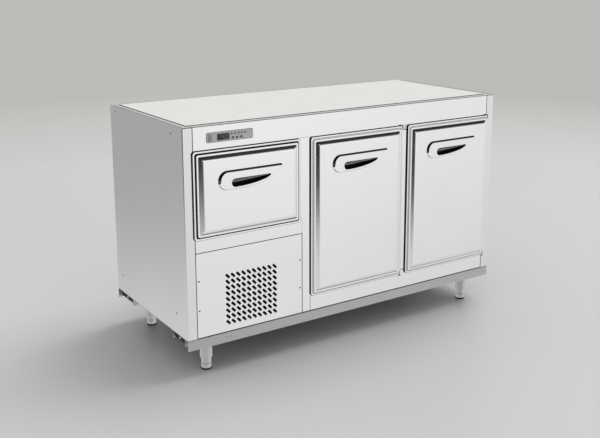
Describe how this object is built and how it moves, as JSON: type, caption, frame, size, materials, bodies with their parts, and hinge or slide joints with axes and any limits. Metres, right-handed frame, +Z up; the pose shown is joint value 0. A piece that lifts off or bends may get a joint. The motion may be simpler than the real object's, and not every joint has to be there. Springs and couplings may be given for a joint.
{
  "type": "undercounter refrigerator",
  "caption": "Stainless undercounter refrigerator with hinged doors, a drawer above its condensing unit, and adjustable legs.",
  "frame": {"origin": "on the floor, under the middle of the cabinet's box", "axes": "+X along the front towards the hinged end, -Y towards the user, +Z up"},
  "size_m": [1.36, 0.621, 0.85],
  "materials": {
    "stainless": "satin scotch-brite stainless sheet",
    "stainless_side": "satin stainless sheet, vertical grain",
    "galvanised": "spangled galvanised sheet",
    "top_sheet": "pale matt coated sheet",
    "black_plastic": "moulded, fine texture",
    "grey_plastic": "moulded, satin",
    "foam": "injected polyurethane foam",
    "white_plastic": "vacuum-formed, semi-gloss",
    "rubber": "soft extruded",
    "black_steel": "black enamel",
    "aluminium": "bare fins"
  },
  "bodies": {
    "cabinet": {"back_panel": "galvanised", "base_pan": "galvanised", "bay_divider": "stainless", "bottom_rail": "stainless", "centre_mullion": "stainless", "compressor": "black_steel", "condenser": "aluminium", "condenser_fan_motor": "black_steel", "condensing_tray": "galvanised", "controller": "grey_plastic", "cord_grommet": "rubber", "drawer_runner_fixed_left": "galvanised", "drawer_runner_fixed_right": "galvanised", "evaporator_coil": "aluminium", "evaporator_cover": "white_plastic", "inner_liner": "stainless", "insulation": "foam", "left_door_hinge_bottom": "stainless", "left_door_hinge_top": "stainless", "leg_channel_front": "galvanised", "leg_channel_rear": "galvanised", "leg_sleeve_front_left": "stainless", "leg_sleeve_front_right": "stainless", "leg_sleeve_rear_left": "stainless", "leg_sleeve_rear_right": "stainless", "middle_stile": "stainless", "right_door_hinge_bottom": "stainless", "right_door_hinge_top": "stainless", "shelf_left": "stainless", "shelf_right": "stainless", "shelf_support_centre": "stainless", "shelf_support_left": "stainless", "shelf_support_right": "stainless", "side_panel_left": "stainless_side", "side_panel_right": "stainless_side", "top_panel": "top_sheet", "top_rail": "stainless", "vent_panel": "stainless"},
    "left_door": {"left_door_skin": "stainless", "left_door_core": "white_plastic", "left_door_gasket": "rubber", "left_door_handle_cup": "black_plastic"},
    "right_door": {"right_door_skin": "stainless", "right_door_core": "white_plastic", "right_door_gasket": "rubber", "right_door_handle_cup": "black_plastic"},
    "drawer": {"drawer_skin": "stainless", "drawer_box": "stainless", "drawer_handle_cup": "black_plastic"},
    "drawer_runners": {"drawer_runner_middle_left": "galvanised", "drawer_runner_middle_right": "galvanised"},
    "condenser_fan": {"condenser_fan_blade": "grey_plastic"},
    "evaporator_fan": {"evaporator_fan": "black_plastic"},
    "key_set": {"key_set": "grey_plastic"},
    "key_down": {"key_down": "grey_plastic"},
    "key_up": {"key_up": "grey_plastic"},
    "foot_front_left": {"leg_foot_front_left": "stainless"},
    "foot_front_right": {"leg_foot_front_right": "stainless"},
    "foot_rear_left": {"leg_foot_rear_left": "stainless"},
    "foot_rear_right": {"leg_foot_rear_right": "stainless"}
  },
  "joints": [
    {"name": "left_door_hinge", "type": "hinge", "parent": "cabinet", "child": "left_door", "pos_m": [0.2114, -0.2958, 0.481], "axis": [0, 0, 1], "range_deg": [0, 100]},
    {"name": "right_door_hinge", "type": "hinge", "parent": "cabinet", "child": "right_door", "pos_m": [0.6454, -0.2958, 0.481], "axis": [0, 0, 1], "range_deg": [0, 100]},
    {"name": "drawer_slide", "type": "slide", "parent": "cabinet", "child": "drawer", "axis": [0, -1, 0], "range_m": [0, 0.4]},
    {"name": "drawer_runner_slide", "type": "slide", "parent": "cabinet", "child": "drawer_runners", "axis": [0, -1, 0], "range_m": [0, 0.2]},
    {"name": "condenser_fan_spin", "type": "hinge", "parent": "cabinet", "child": "condenser_fan", "pos_m": [-0.44, -0.1425, 0.275], "axis": [0, 1, 0], "continuous": true},
    {"name": "evaporator_fan_spin", "type": "hinge", "parent": "cabinet", "child": "evaporator_fan", "pos_m": [0.226, -0.0485, 0.66], "axis": [0, 1, 0], "continuous": true},
    {"name": "key_set_press", "type": "slide", "parent": "cabinet", "child": "key_set", "axis": [0, 1, 0], "range_m": [0, 0.0006], "stiffness_N_per_m": 500},
    {"name": "key_down_press", "type": "slide", "parent": "cabinet", "child": "key_down", "axis": [0, 1, 0], "range_m": [0, 0.0006], "stiffness_N_per_m": 500},
    {"name": "key_up_press", "type": "slide", "parent": "cabinet", "child": "key_up", "axis": [0, 1, 0], "range_m": [0, 0.0006], "stiffness_N_per_m": 500},
    {"name": "foot_front_left_height", "type": "slide", "parent": "cabinet", "child": "foot_front_left", "axis": [0, 0, 1], "range_m": [-0.015, 0.03]},
    {"name": "foot_front_right_height", "type": "slide", "parent": "cabinet", "child": "foot_front_right", "axis": [0, 0, 1], "range_m": [-0.015, 0.03]},
    {"name": "foot_rear_left_height", "type": "slide", "parent": "cabinet", "child": "foot_rear_left", "axis": [0, 0, 1], "range_m": [-0.015, 0.03]},
    {"name": "foot_rear_right_height", "type": "slide", "parent": "cabinet", "child": "foot_rear_right", "axis": [0, 0, 1], "range_m": [-0.015, 0.03]}
  ],
  "couplings": [
    {"joint": "drawer_runner_slide", "follows": "drawer_slide", "ratio": 0.5}
  ]
}
